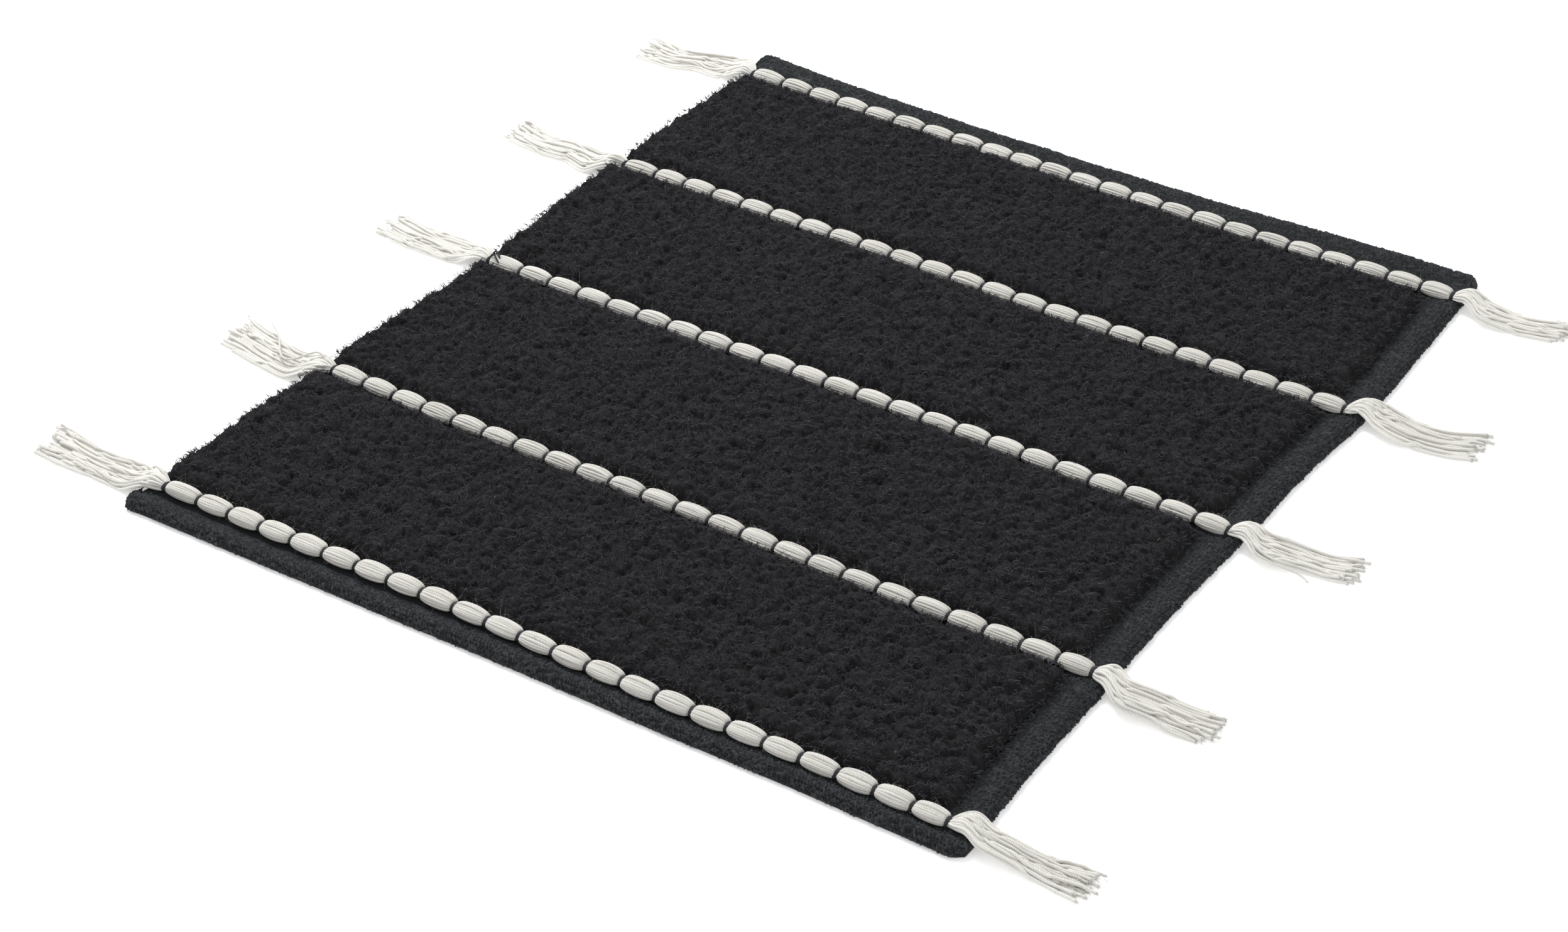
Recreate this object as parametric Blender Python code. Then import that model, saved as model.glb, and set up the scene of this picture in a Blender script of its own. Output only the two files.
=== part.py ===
"""Bath mat: a hemmed cotton ground cloth with pile panels, couched roving rows and swinging tassels.

Metres, +Z up. The mat lies on the plane z = 0 with its middle over the origin. Its rows run along X,
row 1 is at the front (-Y), and each roving ends in a tassel on the left (-X) and on the right (+X).
"""

import math

import bmesh
import bpy
from mathutils import Vector

# Overall size
MAT_WIDTH = 0.500  # along X, over the side hems and without the tassels
MAT_LENGTH = 0.600  # along Y, over the end hems
GAP = 0.0003  # clearance between pieces that touch

# Rows of roving
ROWS = 5
FRONT_VALLEY = 0.0030  # between the front hem and the puffs of row 1
BACK_VALLEY = 0.0070  # between the back hem and the puffs of the last row
SIDE_MARGIN = 0.0114  # middle of a row's last tie to the side edge
PUFF_PITCH_AIM = 0.0208  # the puffs are spread evenly at close to this pitch
NECK_HALF_WIDTH = 0.0034
NECK_HALF_HEIGHT = 0.0022
BELLY_HALF_WIDTH = 0.0055
BELLY_HALF_HEIGHT = 0.0041
BELLY_SHOULDER = 0.27  # share of the pitch from a neck to the full belly
ROVING_SIDES = 6

# Tie yarn
TIE_WIDTH = 0.0024  # along the row
TIE_THICKNESS = 0.0012

# Ground cloth and hems
CLOTH_THICKNESS = 0.0020
HEM_UNDER_LAYER = 0.0016  # the layer turned under, which lies on the floor
HEM_EDGE_WALL = 0.0024  # cloth round the outside of the fold
END_HEM_WIDTH = 0.0130
END_HEM_TOP_LAYER = 0.0026
SIDE_HEM_TOP_LAYER = 0.0014
HEM_ROUND = 0.0018  # radius of the fold's two outside corners
THREAD_SIZE = 0.0010  # side of the sewing thread's section, with its loops

# Pile
PILE_HEIGHT = 0.0108  # above the ground cloth
CHANNEL_CLEARANCE = 0.0011  # between the puffs and the pile beside them
BARE_STRIP = 0.0092  # ground cloth left bare between the pile and the right hem
PILE_ROUND = 0.0030

# Tassels
HINGE_PROUD = 0.0035  # side edge to the axis that a tassel swings about
TASSEL_REACH = 0.0765  # axis to the cut ends
TASSEL_HALF_WIDTH = 0.0140  # at the cut ends
TASSEL_HALF_THICKNESS = 0.0030
ROOT_HALF_WIDTH = 0.0068
ROOT_HALF_THICKNESS = 0.0009  # thin, so that the tassel can fold back over its row
ROOT_RADIUS = 0.0022  # what the root needs to turn in
TAIL_FLARE_RUN = 0.0068  # from the last tie to where the tail is as wide as the root
TASSEL_SIDES = 8

# Heights that follow from the layers
CLOTH_BOTTOM = HEM_UNDER_LAYER + GAP
CLOTH_TOP = CLOTH_BOTTOM + CLOTH_THICKNESS
SIDE_HEM_TOP = CLOTH_TOP + GAP + SIDE_HEM_TOP_LAYER
END_HEM_TOP = CLOTH_TOP + GAP + END_HEM_TOP_LAYER
ROVING_AXIS = max(CLOTH_TOP + GAP + BELLY_HALF_HEIGHT, SIDE_HEM_TOP + GAP + NECK_HALF_HEIGHT)

# Plan places that follow from the sizes
PUFFS = round((MAT_WIDTH - 2 * SIDE_MARGIN) / PUFF_PITCH_AIM)
PITCH = (MAT_WIDTH - 2 * SIDE_MARGIN) / PUFFS
TIE_PLACES = [SIDE_MARGIN - MAT_WIDTH / 2 + k * PITCH for k in range(PUFFS + 1)]
FRONT_ROW = END_HEM_WIDTH + FRONT_VALLEY + BELLY_HALF_WIDTH - MAT_LENGTH / 2
BACK_ROW = MAT_LENGTH / 2 - END_HEM_WIDTH - BACK_VALLEY - BELLY_HALF_WIDTH
ROW_PLACES = [FRONT_ROW + (BACK_ROW - FRONT_ROW) * k / (ROWS - 1) for k in range(ROWS)]
CHANNEL_HALF_WIDTH = BELLY_HALF_WIDTH + CHANNEL_CLEARANCE
SIDE_HEM_WIDTH = SIDE_MARGIN - TIE_WIDTH / 2 - GAP
CLOTH_HALF_WIDTH = MAT_WIDTH / 2 - HEM_EDGE_WALL - GAP
CLOTH_HALF_LENGTH = MAT_LENGTH / 2 - HEM_EDGE_WALL - GAP
THREAD_NOTCH = THREAD_SIZE + 2 * GAP  # how far the turned-under layer stops short

HINGE_X = MAT_WIDTH / 2 + HINGE_PROUD

# The tie's arch clears the roving where it swells out on both sides of a neck.
PUFF_FLARE = (BELLY_HALF_WIDTH - NECK_HALF_WIDTH) / (BELLY_SHOULDER * PITCH)
PUFF_RISE = (BELLY_HALF_HEIGHT - NECK_HALF_HEIGHT) / (BELLY_SHOULDER * PITCH)
TAIL_FLARE = (ROOT_HALF_WIDTH - NECK_HALF_WIDTH) / TAIL_FLARE_RUN
ARCH_HALF_WIDTH = NECK_HALF_WIDTH + max(PUFF_FLARE, TAIL_FLARE) * TIE_WIDTH / 2 + GAP
ARCH_TOP = ROVING_AXIS + NECK_HALF_HEIGHT + PUFF_RISE * TIE_WIDTH / 2 + GAP
FLOAT_BOTTOM = CLOTH_BOTTOM - GAP - TIE_THICKNESS

# Colour, roughness and metallic value of each material
FINISHES = {
    "black_pile": ((0.020, 0.021, 0.024), 0.95, 0.0),
    "black_cloth": ((0.028, 0.030, 0.034), 0.92, 0.0),
    "black_hem": ((0.036, 0.039, 0.044), 0.90, 0.0),
    "black_yarn": ((0.022, 0.023, 0.027), 0.85, 0.0),
    "white_yarn": ((0.610, 0.595, 0.560), 0.90, 0.0),
}


def finish(name):
    """The material of that name, made the first time it is asked for."""
    if name in bpy.data.materials:
        return bpy.data.materials[name]
    colour, roughness, metallic = FINISHES[name]
    material = bpy.data.materials.new(name)
    material.use_nodes = True
    shader = material.node_tree.nodes["Principled BSDF"]
    shader.inputs["Base Color"].default_value = (*colour, 1.0)
    shader.inputs["Roughness"].default_value = roughness
    shader.inputs["Metallic"].default_value = metallic
    material.diffuse_color = (*colour, 1.0)
    return material


def add_piece(name, mesh, material, location=(0.0, 0.0, 0.0), smooth=False):
    """Links a bmesh as a named object with its own material, and frees the bmesh."""
    bmesh.ops.recalc_face_normals(mesh, faces=mesh.faces)
    data = bpy.data.meshes.new(name)
    mesh.to_mesh(data)
    mesh.free()
    if smooth:
        data.shade_smooth()
        data.set_sharp_from_angle(angle=math.radians(50))
    data.materials.append(finish(material))
    piece = bpy.data.objects.new(name, data)
    piece.location = location
    bpy.context.scene.collection.objects.link(piece)
    return piece


def oval(x, z, half_width, half_height, sides):
    """An upright oval ring in the plane at x, whose top and bottom lie half_height from z."""
    topmost = max(math.sin(2 * math.pi * k / sides) for k in range(sides))
    reach = half_height / topmost
    turns = [2 * math.pi * k / sides for k in range(sides)]
    return [Vector((x, half_width * math.cos(t), z + reach * math.sin(t))) for t in turns]


def loft(rings):
    """A closed solid through rings of equal point counts, with flat caps."""
    mesh = bmesh.new()
    loops = [[mesh.verts.new(point) for point in ring] for ring in rings]
    count = len(loops[0])
    for near, far in zip(loops, loops[1:]):
        for k in range(count):
            mesh.faces.new((near[k], near[(k + 1) % count], far[(k + 1) % count], far[k]))
    mesh.faces.new(loops[0][::-1])
    mesh.faces.new(loops[-1])
    return mesh


def block_work(x_cuts, y_cuts, z_cuts, filled):
    """The closed skin of the filled cells of a grid, with flat neighbours merged."""
    mesh = bmesh.new()
    made = {}

    def corner(i, j, k):
        if (i, j, k) not in made:
            made[i, j, k] = mesh.verts.new((x_cuts[i], y_cuts[j], z_cuts[k]))
        return made[i, j, k]

    counts = (len(x_cuts) - 1, len(y_cuts) - 1, len(z_cuts) - 1)

    def solid(cell):
        inside = all(0 <= c < n for c, n in zip(cell, counts))
        return inside and filled(*cell)

    for i in range(counts[0]):
        for j in range(counts[1]):
            for k in range(counts[2]):
                if not solid((i, j, k)):
                    continue
                for axis in range(3):
                    for step in (-1, 1):
                        beside = [i, j, k]
                        beside[axis] += step
                        if solid(tuple(beside)):
                            continue
                        low = [i, j, k]
                        low[axis] += step > 0
                        across, up = [a for a in range(3) if a != axis]
                        square = []
                        for du, dv in ((0, 0), (1, 0), (1, 1), (0, 1)):
                            place = list(low)
                            place[across] += du
                            place[up] += dv
                            square.append(corner(*place))
                        mesh.faces.new(square)
    bmesh.ops.recalc_face_normals(mesh, faces=mesh.faces)
    bmesh.ops.dissolve_limit(
        mesh, angle_limit=math.radians(1), verts=mesh.verts, edges=mesh.edges, delimit={"NORMAL"}
    )
    return mesh


def arc(centre, radius, start_deg, end_deg, steps):
    """Points of an arc in a profile's plane, both ends included."""
    turns = [math.radians(start_deg + (end_deg - start_deg) * k / steps) for k in range(steps + 1)]
    return [(centre[0] + radius * math.cos(t), centre[1] + radius * math.sin(t)) for t in turns]


def hem_profile(width, top_layer):
    """Section of a turned hem as (distance in from the outer edge, height), open towards the mat."""
    top = CLOTH_TOP + GAP + top_layer
    slot = HEM_EDGE_WALL
    upper = arc((HEM_ROUND, top - HEM_ROUND), HEM_ROUND, 180, 90, 3)
    lower = arc((HEM_ROUND, HEM_ROUND), HEM_ROUND, 270, 180, 3)
    flap = width - THREAD_NOTCH
    mouth = [(width, top), (width, CLOTH_TOP + GAP), (slot, CLOTH_TOP + GAP)]
    under = [(slot, CLOTH_BOTTOM - GAP), (flap, CLOTH_BOTTOM - GAP), (flap, 0.0)]
    return upper + mouth + under + lower


def place_across(side, inset, height, along):
    """A point of an end hem: inset from the edge on that side of Y, and along X."""
    return Vector((along, side * (MAT_LENGTH / 2 - inset), height))


def place_beside(side, inset, height, along):
    """A point of a side hem: inset from the edge on that side of X, and along Y."""
    return Vector((side * (MAT_WIDTH / 2 - inset), along, height))


def add_hem(name, place, side, profile, half_run):
    rings = [[place(side, u, v, end) for u, v in profile] for end in (-half_run, half_run)]
    add_piece(name, loft(rings), "black_hem", smooth=True)


def add_hem_thread(name, place, side, hem_width, half_run):
    """The thread lies in the corner between the turned-under layer's edge and the ground cloth."""
    near = hem_width - THREAD_NOTCH + GAP
    top = CLOTH_BOTTOM - GAP
    section = [(near, top - THREAD_SIZE), (near + THREAD_SIZE, top - THREAD_SIZE)]
    section += [(near + THREAD_SIZE, top), (near, top)]
    rings = [[place(side, u, v, end) for u, v in section] for end in (-half_run, half_run)]
    add_piece(name, loft(rings), "black_yarn")


def make_hems():
    end_profile = hem_profile(END_HEM_WIDTH, END_HEM_TOP_LAYER)
    side_profile = hem_profile(SIDE_HEM_WIDTH, SIDE_HEM_TOP_LAYER)
    half_end = MAT_WIDTH / 2
    half_side = MAT_LENGTH / 2 - END_HEM_WIDTH - GAP
    half_end_thread = MAT_WIDTH / 2 - SIDE_HEM_WIDTH - GAP
    for side, word in ((-1, "front"), (1, "back")):
        add_hem(f"end_hem_{word}", place_across, side, end_profile, half_end)
        add_hem_thread(f"hem_thread_{word}", place_across, side, END_HEM_WIDTH, half_end_thread)
    for side, word in ((-1, "left"), (1, "right")):
        add_hem(f"side_hem_{word}", place_beside, side, side_profile, half_side)
        add_hem_thread(f"hem_thread_{word}", place_beside, side, SIDE_HEM_WIDTH, half_side)


def make_ground_cloth():
    """The cloth has a slot at each tie, which both legs of the tie's arch go down through."""
    half_slot = TIE_WIDTH / 2 + GAP
    half_reach = ARCH_HALF_WIDTH + TIE_THICKNESS + GAP
    x_cuts = [-CLOTH_HALF_WIDTH]
    for x in TIE_PLACES:
        x_cuts += [x - half_slot, x + half_slot]
    x_cuts.append(CLOTH_HALF_WIDTH)
    y_cuts = [-CLOTH_HALF_LENGTH]
    for y in ROW_PLACES:
        y_cuts += [y - half_reach, y + half_reach]
    y_cuts.append(CLOTH_HALF_LENGTH)
    cloth = block_work(
        x_cuts, y_cuts, [CLOTH_BOTTOM, CLOTH_TOP], lambda i, j, k: not (i % 2 and j % 2)
    )
    add_piece("ground_cloth", cloth, "black_cloth")


def make_pile_panel(number):
    """A slab of pile between two rows, with its top edges rounded over."""
    front = ROW_PLACES[number - 1] + CHANNEL_HALF_WIDTH
    back = ROW_PLACES[number] - CHANNEL_HALF_WIDTH
    left = -MAT_WIDTH / 2 + SIDE_HEM_WIDTH + GAP
    right = MAT_WIDTH / 2 - SIDE_HEM_WIDTH - BARE_STRIP
    low, high = CLOTH_TOP + GAP, CLOTH_TOP + PILE_HEIGHT
    section = ((front, low), (back, low), (back, high), (front, high))
    mesh = loft([[Vector((x, y, z)) for y, z in section] for x in (left, right)])
    top_edges = [e for e in mesh.edges if all(abs(v.co.z - high) < GAP for v in e.verts)]
    bmesh.ops.bevel(
        mesh, geom=top_edges, offset=PILE_ROUND, segments=2, profile=0.5, affect="EDGES"
    )
    add_piece(f"pile_panel_{number}", mesh, "black_pile", smooth=True)


def make_roving(number):
    """One length of roving: puffs between the ties, and a short flattened tail past each side edge."""
    half_row = TIE_PLACES[-1]
    neck = (NECK_HALF_WIDTH, NECK_HALF_HEIGHT)
    belly = (BELLY_HALF_WIDTH, BELLY_HALF_HEIGHT)
    tail = [
        (half_row + TAIL_FLARE_RUN, ROOT_HALF_WIDTH, NECK_HALF_HEIGHT),
        (HINGE_X - ROOT_RADIUS - GAP, ROOT_HALF_WIDTH, ROOT_HALF_THICKNESS),
    ]
    stations = [(-x, w, h) for x, w, h in reversed(tail)]
    for x in TIE_PLACES[:-1]:
        stations.append((x, *neck))
        stations.append((x + BELLY_SHOULDER * PITCH, *belly))
        stations.append((x + (1 - BELLY_SHOULDER) * PITCH, *belly))
    stations.append((half_row, *neck))
    stations += tail
    rings = [oval(x, 0.0, w, h, ROVING_SIDES) for x, w, h in stations]
    place = (0.0, ROW_PLACES[number - 1], ROVING_AXIS)
    add_piece(f"roving_{number}", loft(rings), "white_yarn", place, smooth=True)


def make_tie_yarn(number):
    """An arch over each neck, with its legs joined by the run along the back of the cloth."""
    x_cuts = []
    for x in TIE_PLACES:
        x_cuts += [x - TIE_WIDTH / 2, x + TIE_WIDTH / 2]
    outside = ARCH_HALF_WIDTH + TIE_THICKNESS
    y_cuts = [-outside, -ARCH_HALF_WIDTH, ARCH_HALF_WIDTH, outside]
    z_cuts = [FLOAT_BOTTOM, FLOAT_BOTTOM + TIE_THICKNESS, ARCH_TOP, ARCH_TOP + TIE_THICKNESS]

    def filled(i, j, k):
        on_back, leg, over = k == 0, k == 1 and j != 1, k == 2
        return on_back or (i % 2 == 0 and (leg or over))

    mesh = block_work(x_cuts, y_cuts, z_cuts, filled)
    add_piece(f"tie_yarn_{number}", mesh, "black_yarn", (0.0, ROW_PLACES[number - 1], 0.0))


def make_tassel(number, side, word):
    """A flattened bundle that leaves the roving level, drops to the floor and spreads to its cut ends."""
    drop = ROVING_AXIS - TASSEL_HALF_THICKNESS
    spread = TASSEL_HALF_WIDTH - ROOT_HALF_WIDTH
    swell = TASSEL_HALF_THICKNESS - ROOT_HALF_THICKNESS
    # Share of the reach, of the drop, of the spread and of the swell in thickness
    shape = [
        (-ROOT_RADIUS / TASSEL_REACH, 0.00, 0.00, 0.00),
        (0.026, 0.00, 0.03, 0.18),
        (0.090, 0.05, 0.12, 0.60),
        (0.200, 0.42, 0.35, 0.85),
        (0.370, 0.90, 0.62, 1.00),
        (0.620, 1.00, 0.82, 1.00),
        (0.860, 1.00, 0.95, 1.00),
        (1.000, 1.00, 1.00, 0.80),
    ]
    rings = [
        oval(
            side * reach * TASSEL_REACH,
            -fall * drop,
            ROOT_HALF_WIDTH + wide * spread,
            ROOT_HALF_THICKNESS + thick * swell,
            TASSEL_SIDES,
        )
        for reach, fall, wide, thick in shape
    ]
    place = (side * HINGE_X, ROW_PLACES[number - 1], ROVING_AXIS)
    add_piece(f"tassel_{word}_{number}", loft(rings), "white_yarn", place, smooth=True)


def main():
    for old in list(bpy.data.objects):
        bpy.data.objects.remove(old, do_unlink=True)
    make_ground_cloth()
    make_hems()
    for number in range(1, ROWS):
        make_pile_panel(number)
    for number in range(1, ROWS + 1):
        make_roving(number)
        make_tie_yarn(number)
        make_tassel(number, -1, "left")
        make_tassel(number, 1, "right")


main()
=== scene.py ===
import math

import bpy
import numpy as np
from mathutils import Matrix, Vector


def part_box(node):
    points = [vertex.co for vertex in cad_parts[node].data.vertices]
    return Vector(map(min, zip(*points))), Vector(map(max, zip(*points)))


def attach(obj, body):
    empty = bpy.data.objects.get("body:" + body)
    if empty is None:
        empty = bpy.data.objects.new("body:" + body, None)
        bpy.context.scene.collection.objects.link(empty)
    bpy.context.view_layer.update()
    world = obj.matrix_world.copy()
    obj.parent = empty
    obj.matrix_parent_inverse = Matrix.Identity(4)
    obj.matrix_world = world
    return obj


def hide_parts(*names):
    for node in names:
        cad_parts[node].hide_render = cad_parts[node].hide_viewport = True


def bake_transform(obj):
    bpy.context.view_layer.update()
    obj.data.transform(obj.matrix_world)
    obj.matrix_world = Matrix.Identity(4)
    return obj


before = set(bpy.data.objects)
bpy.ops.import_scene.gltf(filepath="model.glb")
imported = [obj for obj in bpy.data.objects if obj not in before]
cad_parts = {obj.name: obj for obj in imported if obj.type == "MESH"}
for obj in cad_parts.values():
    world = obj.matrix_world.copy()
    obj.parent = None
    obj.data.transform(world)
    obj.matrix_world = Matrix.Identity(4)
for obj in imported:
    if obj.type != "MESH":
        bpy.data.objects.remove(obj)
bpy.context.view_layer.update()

MM = 0.001
SEED = 41

# ---------------------------------------------------------------- places taken from the frame
ROWS = (1, 2, 3, 4, 5)
SIDES = {"left": -1, "right": 1}
TIES = 24
TIE_THICK = 2.4 * MM
PUFFS = TIES - 1
LAST_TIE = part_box("tie_yarn_1")[1].x - TIE_THICK / 2
PITCH = 2 * LAST_TIE / PUFFS
ROW_LOW, ROW_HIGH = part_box("roving_1")
ROVING_Z = (ROW_LOW.z + ROW_HIGH.z) / 2
CLOTH_LOW, CLOTH_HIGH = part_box("ground_cloth")
CLOTH_TOP = CLOTH_HIGH.z
FRONT_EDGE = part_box("end_hem_front")[0].y
BACK_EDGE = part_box("end_hem_back")[1].y
END_HEM_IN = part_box("end_hem_front")[1].y - FRONT_EDGE
SIDE_HEM_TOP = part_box("side_hem_right")[1].z
PILE_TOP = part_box("pile_panel_1")[1].z

# ---------------------------------------------------------------- how this mat lies
# The weaver's hand: rows and edges wander a little, in mm. Rows and ends are told at seven places from left
# to right, sides at nine places from front to back.
ROW_WANDER = {
    1: (1.2, 1.6, 2.8, 1.4, 0.0, 0.2, -0.2),
    2: (-0.9, -3.1, -3.5, -2.2, -3.3, -3.3, -2.2),
    3: (2.5, 1.4, 2.2, 2.8, 2.8, 1.8, 1.5),
    4: (-2.6, -1.8, -1.1, -1.6, -3.2, -1.8, -0.1),
    5: (-0.2, -1.6, -1.2, -3.4, -2.8, -0.6, 2.0),
}
END_WANDER = {-1: (1.8, 3.3, 4.3, 5.2, 5.6, 6.5, 5.6), 1: (5.2, -0.2, -1.4, -0.4, 1.2, 6.2, 8.8)}
SIDE_PLACES = {1: (254.0, 249.6, 247.6, 245.4, 246.6, 246.2, 249.6, 246.6, 243.0),
               -1: (-251.0, -251.0, -250.0, -246.6, -244.8, -247.4, -247.6, -246.5, -246.5)}
ROW_DROP = {row: 0.0 if row == 1 else 0.8 * MM for row in ROWS}  # how much lower a row sits on the floor
ROW_PUSH = 1.5 * MM  # how far the puffs are pushed to the right, away from the ends


def mix(a, b, t):
    return a + (b - a) * t


def smooth(t):
    t = np.clip(t, 0, 1)
    return t * t * (3 - 2 * t)


def ramp(reach, mm):
    """From 0 at the start to 1 that many mm on."""
    return smooth(reach / (mm * MM))


def rng_for(*words):
    """A random source of its own for each piece, the same at every run."""
    seeds = [sum(ord(c) * (i + 1) for i, c in enumerate(str(word))) for word in words]
    return np.random.default_rng([SEED] + seeds)


def drift(x, y, size, seed):
    """Smooth random relief from -1 to 1, with bumps about size across."""
    n = 64
    cells = np.random.default_rng(seed).uniform(-1, 1, (n, n))
    u, v = np.asarray(x) / size, np.asarray(y) / size
    i, j = np.floor(u).astype(int), np.floor(v).astype(int)
    a, b = smooth(u - i), smooth(v - j)
    near = mix(cells[i % n, j % n], cells[(i + 1) % n, j % n], a)
    far = mix(cells[i % n, (j + 1) % n], cells[(i + 1) % n, (j + 1) % n], a)
    return mix(near, far, b)


def through(at, places, values):
    """A smooth line through a few given values."""
    places, values = np.asarray(places, float), np.asarray(values, float)
    slopes = np.gradient(values, places)
    i = np.clip(np.searchsorted(places, at, side="right") - 1, 0, len(places) - 2)
    step = places[i + 1] - places[i]
    t = np.clip((at - places[i]) / step, 0, 1)
    h00, h10 = 2 * t**3 - 3 * t**2 + 1, t**3 - 2 * t**2 + t
    return (
        h00 * values[i] + h10 * step * slopes[i]
        + (1 - h00) * values[i + 1] + (t**3 - t**2) * step * slopes[i + 1]
    )


def row_y(row, x=0.0):
    """Where a row's middle lies at x."""
    low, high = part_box(f"roving_{row}")
    wander = through(x, np.linspace(-0.24, 0.24, 7), np.array(ROW_WANDER[row]) * MM)
    return (low.y + high.y) / 2 + wander + 0.9 * MM * drift(x, row * 0.3, 0.11, 5)


def side_edge(side, y):
    """The outer edge of a side hem at y."""
    places = np.linspace(FRONT_EDGE, BACK_EDGE, 9)
    wander = 0.4 * MM * drift(y, 4.5 - 4.5 * side, 0.04, 8)
    return through(y, places, np.array(SIDE_PLACES[side]) * MM) + wander


def end_edge(side, x):
    """The outer edge of an end hem at x."""
    edge = FRONT_EDGE if side < 0 else BACK_EDGE
    wander = through(x, np.linspace(-0.25, 0.25, 7), np.array(END_WANDER[side]) * MM)
    return edge + wander + 0.4 * MM * drift(x, side * 4.0, 0.04, 9)


def pushed(x):
    """Where a place along a row lies once its puffs have been pushed along."""
    return x + ROW_PUSH * ramp(LAST_TIE - np.abs(x), 22)


# ---------------------------------------------------------------- shader node groups
def new_group(name, inputs, outputs):
    """A shader node group with its input and output nodes. Inputs are given by name with their defaults."""
    group = bpy.data.node_groups.new(name, "ShaderNodeTree")
    for word, default in inputs.items():
        kind = "NodeSocketColor" if isinstance(default, tuple) else "NodeSocketFloat"
        socket = group.interface.new_socket(word, in_out="INPUT", socket_type=kind)
        socket.default_value = default
    for word, kind in outputs.items():
        group.interface.new_socket(word, in_out="OUTPUT", socket_type=kind)
    return group, group.nodes.new("NodeGroupInput"), group.nodes.new("NodeGroupOutput")


def node(tree, kind, values=(), **settings):
    made = tree.nodes.new(kind)
    for key, value in settings.items():
        setattr(made, key, value)
    for key, value in dict(values).items():
        feed(tree, value, made.inputs[key])
    return made


def feed(tree, value, socket):
    """Link a socket into another, or set it to a plain value."""
    if isinstance(value, bpy.types.NodeSocket):
        tree.links.new(value, socket)
    else:
        socket.default_value = value


def math_node(tree, operation, *terms):
    return node(tree, "ShaderNodeMath", dict(enumerate(terms)), operation=operation).outputs[0]


def plus(tree, a, b):
    return math_node(tree, "ADD", a, b)


def minus(tree, a, b):
    return math_node(tree, "SUBTRACT", a, b)


def times(tree, a, b):
    return math_node(tree, "MULTIPLY", a, b)


def mix_colour(tree, factor, a, b, blend="MIX"):
    terms = {0: factor, 6: a, 7: b}
    return node(tree, "ShaderNodeMix", terms, data_type="RGBA", blend_type=blend).outputs[2]


def attribute(tree, name):
    return node(tree, "ShaderNodeAttribute", attribute_name=name).outputs["Fac"]


def noise(tree, values, shift=0.0):
    """Noise from 0 to 1 in the piece's own coordinates. A shift moves to another part of it."""
    place = node(tree, "ShaderNodeTexCoord").outputs["Object"]
    if shift:
        moves = {0: place, 1: (shift, 0.3 * shift, 0.7 * shift)}
        place = node(tree, "ShaderNodeVectorMath", moves, operation="ADD").outputs[0]
    return node(tree, "ShaderNodeTexNoise", {"Vector": place, **values}).outputs[0]


def make_loose_fibres():
    """Fine curling fibres lying every way on a surface: 1 on a fibre, 0 between."""
    group, given, out = new_group(
        "loose_fibres", {"Per metre": 700.0, "Fineness": 14.0}, {"Fibre": "NodeSocketFloat"},
    )
    most = 0.0
    for shift, share in ((0.0, 1.0), (3.7, 1.6), (8.1, 2.3)):
        scale = times(group, given.outputs["Per metre"], share)
        level = noise(group, {"Scale": scale, "Detail": 1.0, "Distortion": 0.6}, shift)
        away = math_node(group, "ABSOLUTE", minus(group, level, 0.5))
        line = minus(group, 1.0, times(group, away, given.outputs["Fineness"]))
        most = math_node(group, "MAXIMUM", line, most)
    feed(group, most, out.inputs["Fibre"])
    return group


def make_spun_cotton(fibres_group):
    """Spun cotton: two shades mingled, a slow drift of tone and loose fibres, as colour and fine relief."""
    group, given, out = new_group(
        "spun_cotton",
        {
            "Dark": (0.0, 0.0, 0.0, 1.0), "Light": (1.0, 1.0, 1.0, 1.0), "Grain per metre": 1500.0,
            "Drift": 0.3, "Tone": 0.5, "Fibres per metre": 700.0, "Fineness": 10.0, "Fibre share": 0.5,
        },
        {"Colour": "NodeSocketColor", "Relief": "NodeSocketFloat"},
    )
    fine = noise(group, {"Scale": given.outputs["Grain per metre"], "Detail": 3.0, "Roughness": 0.65})
    slow = noise(group, {"Scale": 90.0, "Detail": 2.0})
    wanted = {"Per metre": given.outputs["Fibres per metre"], "Fineness": given.outputs["Fineness"]}
    loose = node(group, "ShaderNodeGroup", wanted, node_tree=fibres_group)
    fibre = times(group, loose.outputs["Fibre"], given.outputs["Fibre share"])
    drifted = times(group, minus(group, slow, 0.5), given.outputs["Drift"])
    grain = times(group, minus(group, fine, 0.5), 1.4)
    shade = plus(group, plus(group, plus(group, drifted, grain), given.outputs["Tone"]), fibre)
    share = node(group, "ShaderNodeClamp", {0: shade}).outputs[0]
    colour = mix_colour(group, share, given.outputs["Dark"], given.outputs["Light"])
    feed(group, colour, out.inputs["Colour"])
    feed(group, plus(group, fine, fibre), out.inputs["Relief"])
    return group


def make_ply_twist():
    """The grooves between the twisted plies of a yarn: 0 in a groove and 1 on a ply. The mesh marks the
    place round the yarn by its cosine and sine, and the place along it in metres."""
    group, given, out = new_group(
        "ply_twist", {"Plies": 3.0, "Twist pitch": 0.005, "Waver": 3.0}, {"Ply": "NodeSocketFloat"},
    )
    round_it = math_node(group, "ARCTAN2", attribute(group, "round_sin"), attribute(group, "round_cos"))
    along = math_node(group, "DIVIDE", attribute(group, "along"), given.outputs["Twist pitch"])
    turned = plus(group, round_it, times(group, along, 2 * math.pi))
    uneven = minus(group, noise(group, {"Scale": 420.0, "Detail": 2.0}), 0.5)
    waver = times(group, uneven, given.outputs["Waver"])
    phase = times(group, times(group, turned, given.outputs["Plies"]), 0.5)
    wave = math_node(group, "ABSOLUTE", math_node(group, "COSINE", plus(group, phase, waver)))
    feed(group, math_node(group, "POWER", wave, 0.6), out.inputs["Ply"])
    return group


COTTON = make_spun_cotton(make_loose_fibres())
PLY_TWIST = make_ply_twist()


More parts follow.
